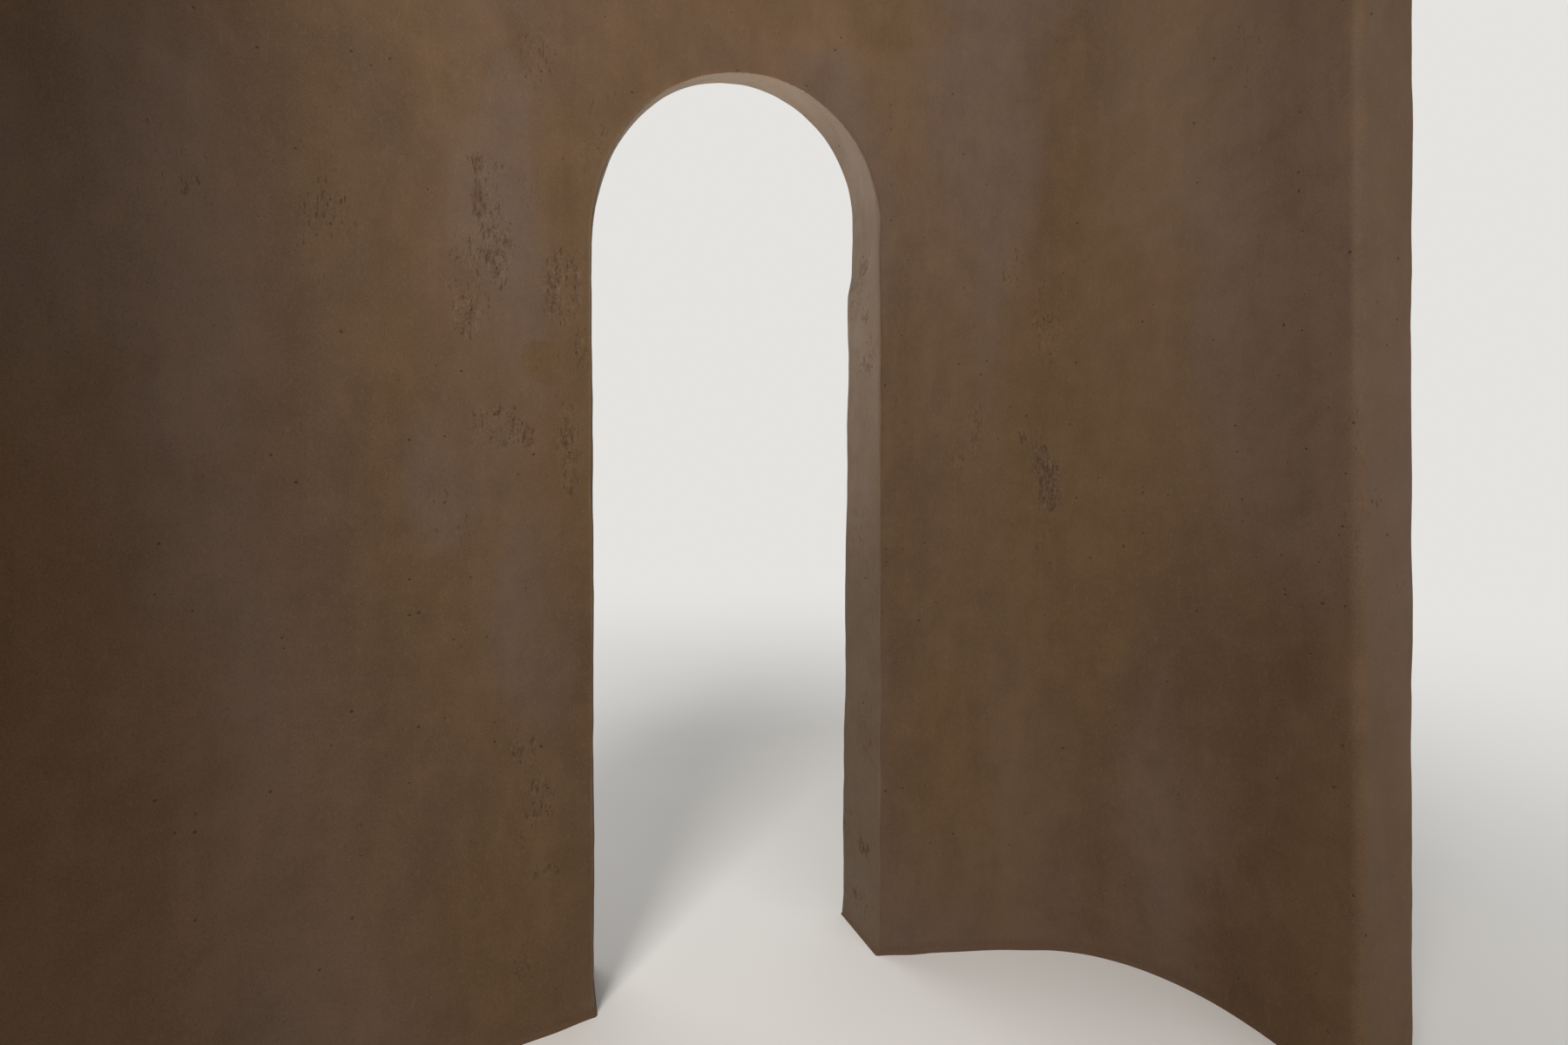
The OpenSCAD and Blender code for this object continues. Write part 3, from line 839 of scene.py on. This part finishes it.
def plaster_group(finish):
    """The plaster's colour, roughness and height, shared by all its materials."""
    group = bpy.data.node_groups.new("Hand-trowelled plaster", "ShaderNodeTree")
    for label, kind in {"Color": "Color", "Roughness": "Float", "Height": "Float"}.items():
        group.interface.new_socket(label, in_out="OUTPUT", socket_type="NodeSocket" + kind)
    n = Nodes(group)

    def tint(base, share, tone):
        return mix_colour(n, share, base, rgba(getattr(finish, tone)))

    def layered(base, layers, within=1.0):
        """Tints a colour more and more as each pattern goes from low to high."""
        for pattern, low, high, most, tone in layers:
            base = tint(base, n.times(n.spread(pattern, low, high, 0.0, most), within), tone)
        return base

    def stretched(scale, lean, *noise_settings):
        """Noise stretched along the wall's height and leaning a little."""
        inputs = {"Vector": place, "Rotation": (0.0, lean, 0.0), "Scale": scale}
        return n.noise(n.add("ShaderNodeMapping", inputs).outputs[0], 1.0, *noise_settings)

    place = n.add("ShaderNodeTexCoord").outputs["Object"]
    cloud, hue, torn = (mark(n, label) for label in CLOUDS)
    mottle = n.noise(place, *MOTTLE)
    strokes = stretched(STROKES, 0.0, 3.0, 0.6)
    scratches = stretched((150.0, 150.0, 60.0), -0.35, 1.0)
    sweeps = stretched((5.0, 5.0, 3.4), 0.3, 4.0, 0.6, 2.2)
    grain = n.noise(place, 400.0, 1.0, 0.6)
    nicks = stretched((168.0, 168.0, 42.0), 0.06, 2.0, 0.62)
    skin = stretched(SKIN, 0.0, 3.0, 0.62)
    grit = stretched((240.0, 240.0, 150.0), 0.0, 1.0, 0.6)

    # clouds of tone and hue, then the mottling and the long strokes of the trowel
    colour = tint(rgba(finish.dark), n.spread(cloud, 0.32, 0.50), "wall")
    colour = layered(colour, (
        (cloud, 0.52, 0.70, 0.75, "light"),
        (hue, 0.51, 0.64, 0.90, "rosy"),
        (hue, 0.48, 0.34, 0.80, "ochre"),
        (mottle, 0.50, 0.28, 0.30, "dark"),
        (mottle, 0.50, 0.74, 0.30, "light"),
        (strokes, 0.46, 0.28, 0.20, "dark"),
        (strokes, 0.54, 0.74, 0.22, "light"),
        (sweeps, 0.49, 0.36, 0.18, "dark"),
        (sweeps, 0.51, 0.64, 0.20, "light"),
    ))

    # inside the passage the plaster is painted greyer and paler as painted light, the same plaster as
    # if lit by a cooler lamp, and it is grittier; along its edges it is painted pale, partly rubbed
    # wear and partly a painted highlight on the rounded edge
    inner = tint(colour, n.spread(mottle, 0.25, 0.60, 0.55, 1.0), "passage")
    inner = layered(inner, ((nicks, 0.54, 0.68, 0.34, "wall"), (nicks, 0.44, 0.30, 0.36, "edge")))
    colour = mix_colour(n, n.times(mark(n, "passage"), 0.88), colour, inner)
    # pale band on the rounded edges: partly rubbed wear, partly a painted highlight
    colour = tint(colour, n.times(mark(n, "edge"), n.spread(strokes, 0.42, 0.66, 0.04, 0.42)), "edge")

    # the foot is a little redder and darker, up to an uneven line
    low = n.add("ShaderNodeSeparateXYZ", {"Vector": place}).outputs["Z"]
    colour = layered(colour, ((n.fused(mottle, -0.030, low), 0.012, -0.006, 0.42, "ground"),))

    # torn patches: the skin is worn off in crisp flakes, with upright nicks and pale crumbs; the nicks
    # are painted dark, as painted shade inside them
    there = n.spread(torn, *TEARING)
    worn = n.times(n.spread(n.fused(torn, FLAKED, skin), 0.800, 0.840), there)
    crumbs = n.times(n.spread(nicks, 0.410, 0.350), n.spread(torn, 0.05, 0.7))
    nick = n.times(n.spread(n.fused(torn, 0.075, nicks), 0.650, 0.700), there)
    colour = tint(colour, n.times(worn, 0.80), "ground")
    colour = layered(colour, (
        (grit, 0.54, 0.66, 0.26, "torn"), (grit, 0.46, 0.34, 0.62, "light"),
    ), n.spread(torn, 0.04, 0.60))
    colour = tint(colour, n.times(crumbs, 0.80), "light")
    colour = tint(colour, n.times(nick, 0.40), "torn")

    # pits left by air and lost grains, more of them where the plaster tore, painted dark as painted
    # shade inside them
    cell = n.add("ShaderNodeTexVoronoi", {"Vector": place, "Scale": 62.0})
    chance = n.add("ShaderNodeSeparateColor", {"Color": cell.outputs["Color"]}).outputs
    size = n.spread(chance[1], 0.0, 1.0, 0.10, 0.25)
    some = n.math("GREATER_THAN", chance[0], n.spread(torn, 0.0, 1.0, 0.965, 0.70))
    ragged = n.fused(nicks, 1.8, n.math("DIVIDE", cell.outputs["Distance"], size))
    pit = n.times(n.spread(ragged, 1.9, 1.5), some)
    colour = tint(colour, n.times(pit, 0.66), "torn")

    # sand in the plaster
    colour = layered(colour, (
        (grain, 0.46, 0.28, 0.32, "torn"),
        (grain, 0.56, 0.74, 0.24, "edge"),
        (scratches, 0.60, 0.76, 0.14, "edge"),
    ))

    rough = n.fused(n.math("MAXIMUM", nick, pit), 0.2, n.spread(sweeps, 0.38, 0.62, 0.60, 0.74))
    rough = n.fused(n.math("SUBTRACT", grain, 0.5), 0.20, rough, clamp=True)

    height = 0.0
    for pattern, depth in (
        (mottle, 0.0007), (strokes, 0.0005), (scratches, 0.00012), (grain, 0.00010),
        (worn, -0.0004), (nick, -0.0009), (crumbs, 0.0003), (pit, -0.0010),
    ):
        height = n.fused(pattern, depth, height)
    n.add("NodeGroupOutput", {"Color": colour, "Roughness": rough, "Height": height})
    return group


def emptied(owner):
    """Empties the nodes of a material or world."""
    owner.use_nodes = True
    owner.node_tree.nodes.clear()
    return Nodes(owner.node_tree)


def material_for(slot):
    """The slot's material, of the shared plaster, made at its first use."""
    name = slot.replace("_", " ").capitalize()
    if name in bpy.data.materials:
        return bpy.data.materials[name]
    material = bpy.data.materials.new(name)
    n = emptied(material)
    group = bpy.data.node_groups.get("Hand-trowelled plaster")
    group = group or plaster_group(bpy.context.scene.passage_finish)
    plaster = n.add("ShaderNodeGroup", node_tree=group).outputs
    relief = n.add("ShaderNodeBump", {"Strength": 0.85, "Distance": 1.0, "Height": plaster["Height"]})
    shader = n.add("ShaderNodeBsdfPrincipled", {
        "Base Color": plaster["Color"], "Roughness": plaster["Roughness"],
        "Normal": relief.outputs["Normal"], "Specular IOR Level": 0.14,
    })
    n.add("ShaderNodeOutputMaterial", {"Surface": shader.outputs[0]})
    return material


# Toes


def toe_grid(name, cell, side, outer):
    """Grid of one toe: from its feathered top edge down the hollow to the nose.

    The first and the last column lie inside the wall. Towards the wall's free end the toe
    tapers away, and beside the passage it meets the jamb's own toe.
    """
    zs = TOE_H - COVE_R * np.linspace(0.0, 1.0, 7)
    zs = np.concatenate([[TOE_H + TOE_FADE, TOE_H + TOE_FADE / 2], zs, [0.0]])
    depth_of, sign = (WALL_T, 1.0) if outer else (0.0, -1.0)
    start = FACE_R * math.asin(SURROUND_HALF / (FACE_R + depth_of))
    end = WALL_END - EDGE_R
    reaches = {"wing": (start, ARC_END), "corner": (ARC_END, CORNER_END), "return": (CORNER_END, end)}
    low, high = reaches[name]
    heights = np.concatenate([zs[:1], zs, zs[-1:]])
    points, inward = [], []
    for u in spaced(low, high, cell * TOE_FINE):
        by_hand = TOE_UNEVEN * (1.0 + float(stray(np.array([side * u, depth_of]), 0.09, 8)))
        full = (1.0 - by_hand * ramp((u - start) / TOE_TAPER)) * ramp((end - u) / TOE_TAPER)
        reach = np.concatenate([[-TOE_TUCK], toe_reach(zs) * full, [-TOE_TUCK]])
        x, y, nx, ny = plan(np.full_like(heights, u), depth_of + sign * reach)
        if u == start:
            x = np.full_like(heights, SURROUND_HALF)
            y = face_y(x, depth_of + sign * reach)
        points.append(np.stack([side * x, y, heights], axis=1))
        inward.append(np.stack([-sign * side * nx, -sign * ny, 0.0 * nx], axis=1))
    return np.array(points), np.array(inward)


def lay_toe(settings, node, name, side, outer):
    """Relieves the seen part of a toe as its wall is, and makes the piece that replaces a node."""
    points, inward = toe_grid(name, settings.cell, side, outer)
    seen, slot = (slice(None), slice(1, -1)), "toe_plaster"
    points[seen], normals, tones = relieved(settings, node, slot, points[seen], inward[seen])
    tucked = [(0, 0), (1, 1)]
    normals = np.pad(normals, tucked + [(0, 0)], mode="edge")
    tones = {label: np.pad(value, tucked, mode="edge") for label, value in tones.items()}
    closed_piece(node + "_cove", points, normals, tones, 0, slot, node, tucked=1)


# Operators

RUNS = ("wing", "corner", "return")
SIDES = ((-1, "left"), (1, "right"))
FLOOR_HALF = 14.0
FADE_FROM, FADE_TO = 1.9, 12.0

# Lamps: place, aim, size, colour and beam; their powers are settings of the stage
LAMPS = {
    "key": ((-1.8, -2.2, 3.5), (0.15, 0.0, 1.25), (1.3, 1.3), (1.0, 0.965, 0.92), 180.0),
    "fill": ((2.4, -3.4, 1.6), (0.0, 0.1, 1.2), (2.6, 2.2), (0.97, 0.98, 1.0), 180.0),
    "back": ((-1.9, 2.9, 2.9), (0.3, 0.1, 1.5), (2.4, 2.4), (1.0, 0.99, 0.97), 180.0),
    "low": ((0.04, 0.28, 0.30), (0.04, 0.28, 2.5), (0.2, 0.2), (0.98, 0.99, 1.0), 38.0),
}


class PassageLayRuns(bpy.types.Operator):
    """Lay the plaster of the wings, corners and returns"""

    bl_idname = "passage.lay_runs"
    bl_label = "Wings, corners and returns"

    def execute(self, context):
        settings = context.scene.passage_surface
        for name in RUNS:
            rows = run_rows(name, settings.cell)
            rungs = len(spaced(0.0, WALL_H - EDGE_R, settings.cell)) - 1
            level = len(end_insets(settings.cell)) if name == "return" else 0
            trims = (1, 0 if name == "return" else 1, 0, 0)
            for side, word in SIDES:
                grid = swept_grid(rows, side)
                lay_plaster(settings, f"{word}_{name}", grid, trims, rungs, "wall_plaster", level=level)
        return {"FINISHED"}


class PassageLayHead(bpy.types.Operator):
    """Lay the plaster of the wall over the arch"""

    bl_idname = "passage.lay_head"
    bl_label = "Wall over the arch"

    def execute(self, context):
        settings = context.scene.passage_surface
        rungs = len(spaced(SURROUND_TOP, WALL_H - EDGE_R, settings.cell)) - 1
        grid = head_grid(settings.cell)
        lay_plaster(settings, "head_wall", grid, (1, 1, 1, 1), rungs, "wall_plaster")
        return {"FINISHED"}


class PassageLayArch(bpy.types.Operator):
    """Lay the plaster of the jambs, the haunches and the crown"""

    bl_idname = "passage.lay_arch"
    bl_label = "Jambs and arch"

    def execute(self, context):
        settings = context.scene.passage_surface
        stations = passage_stations(settings.cell)
        points, inward, marks = passage_grid(stations, settings.wander)
        names = ("right_jamb", "right_haunch", "arch_crown", "left_haunch", "left_jamb")
        joints = stations[2]
        for name, first, last in zip(names, joints, joints[1:]):
            low, high = max(first - 1, 0), min(last + 2, len(points))
            part = slice(low, high)
            trims = (first - low, high - last - 1, 1, 1)
            part_marks = {label: value[part] for label, value in marks.items()}
            grid = (points[part], inward[part])
            lay_plaster(settings, name, grid, trims, FACE_STEPS, "passage_plaster", part_marks)
        return {"FINISHED"}


class PassageLayToes(bpy.types.Operator):
    """Press the small plaster toes along the floor, front and back"""

    bl_idname = "passage.lay_toes"
    bl_label = "Toes along the floor"

    def execute(self, context):
        settings = context.scene.passage_surface
        for name in RUNS:
            for side, word in SIDES:
                for outer, face in ((False, "front"), (True, "back")):
                    lay_toe(settings, f"{word}_{name}_toe_{face}", name, side, outer)
        return {"FINISHED"}


def lamp(name, power, at, towards, size, colour, beam):
    light = bpy.data.lights.new(name, "AREA")
    light.spread = math.radians(beam)
    light.shape = "RECTANGLE"
    light.size, light.size_y = size
    light.energy = power
    light.color = colour
    obj = new_object(name, light)
    obj.visible_camera = False
    obj.location = at
    obj.rotation_euler = (Vector(towards) - Vector(at)).to_track_quat("-Z", "Y").to_euler()


def shown_to(n):
    """Rays that see the backdrop: from the camera, and by reflection or through glass."""
    path = n.add("ShaderNodeLightPath").outputs
    seen = n.math("MAXIMUM", path["Is Camera Ray"], path["Is Glossy Ray"])
    return n.math("MAXIMUM", seen, path["Is Transmission Ray"])


class PassageSetStage(bpy.types.Operator):
    """Set the floor, the lights and the camera"""

    bl_idname = "passage.set_stage"
    bl_label = "Floor, lights and camera"

    def execute(self, context):
        stage = context.scene.passage_stage
        corners = FLOOR_HALF * np.array([[-1.0, -1, 0], [1, -1, 0], [1, 1, 0], [-1, 1, 0]])
        mesh = raw_mesh("studio_floor", corners, [[0, 1, 2, 3]])
        mesh.materials.append(floor_material(stage))
        new_object("studio_floor", mesh)
        for name, setting in LAMPS.items():
            lamp(name + "_lamp", getattr(stage, name + "_power"), *setting)
        self.sky(context.scene, stage)
        self.camera(context.scene)
        context.scene.view_settings.view_transform = "Standard"
        return {"FINISHED"}

    def sky(self, scene, stage):
        """Even light on the object, and a pale backdrop for the camera."""
        scene.world = bpy.data.worlds.new("studio")
        n = emptied(scene.world)
        lit = n.add("ShaderNodeBackground", {"Color": [1.0] * 4, "Strength": stage.sky})
        shown = n.add("ShaderNodeBackground", {"Color": rgba(stage.backdrop)})
        mixed = n.add("ShaderNodeMixShader", {0: shown_to(n), 1: lit.outputs[0], 2: shown.outputs[0]})
        n.add("ShaderNodeOutputWorld", {"Surface": mixed.outputs[0]})

    def camera(self, scene):
        data = bpy.data.cameras.new("camera")
        data.lens = CAMERA_LENS
        data.sensor_width = SENSOR
        data.clip_start = 0.05
        obj = new_object("camera", data)
        obj.location = Vector(CAMERA_AT) + Vector((0.0, face_y(JAMB_HALF, 0.0), 0.0))
        obj.rotation_euler = (math.pi / 2, 0.0, -CAMERA_TURN)
        scene.camera = obj


def floor_material(stage):
    """Pale studio floor that fades into the backdrop for the camera."""
    material = bpy.data.materials.new("Studio floor")
    n = emptied(material)
    place = n.add("ShaderNodeTexCoord").outputs["Object"]
    near = n.noise(place, 1.3, 2.0)
    pale = [1.04 * v for v in stage.floor]
    tone = mix_colour(n, n.spread(near, 0.3, 0.7), rgba(stage.floor), rgba(pale))
    plain = n.add("ShaderNodeBsdfPrincipled", {"Base Color": tone, "Roughness": 0.75})
    far = n.add("ShaderNodeVectorMath", {0: place}, operation="LENGTH").outputs["Value"]
    nearness = n.math("DIVIDE", 1.0, n.math("MAXIMUM", far, 0.1))
    fade = n.add("ShaderNodeMapRange", {
        "Value": nearness, "From Min": 1.0 / FADE_FROM, "From Max": 1.0 / FADE_TO,
    }, interpolation_type="SMOOTHSTEP")
    faded = n.times(shown_to(n), fade.outputs["Result"])
    glow = n.add("ShaderNodeEmission", {"Color": rgba(stage.backdrop)})
    shader = n.add("ShaderNodeMixShader", {0: faded, 1: plain.outputs[0], 2: glow.outputs[0]})
    n.add("ShaderNodeOutputMaterial", {"Surface": shader.outputs[0]})
    return material


class PassagePanel(bpy.types.Panel):
    """Shows the wall's settings and the buttons that lay its pieces, in the sidebar"""

    bl_idname = "PASSAGE_PT_wall"
    bl_label = "Arched passage wall"
    bl_space_type = "VIEW_3D"
    bl_region_type = "UI"
    bl_category = "Passage"

    def draw(self, context):
        for name, group in GROUPS.items():
            box = self.layout.box()
            for key in group.__annotations__:
                box.prop(getattr(context.scene, name), key)
        for operator in OPERATORS:
            self.layout.operator(operator.bl_idname)


OPERATORS = (PassageSetStage, PassageLayRuns, PassageLayHead, PassageLayArch, PassageLayToes)
GROUPS = {
    "passage_surface": PassageSurface,
    "passage_finish": PassageFinish,
    "passage_stage": PassageStage,
}
CLASSES = (*GROUPS.values(), *OPERATORS, PassagePanel)


def register():
    for item in CLASSES:
        bpy.utils.register_class(item)
    for name, group in GROUPS.items():
        setattr(bpy.types.Scene, name, PointerProperty(type=group))


def unregister():
    for name in GROUPS:
        delattr(bpy.types.Scene, name)
    for item in reversed(CLASSES):
        bpy.utils.unregister_class(item)


def main():
    register()
    for operator in OPERATORS:
        group, name = operator.bl_idname.split(".")
        getattr(getattr(bpy.ops, group), name)()


if __name__ == "__main__":
    main()
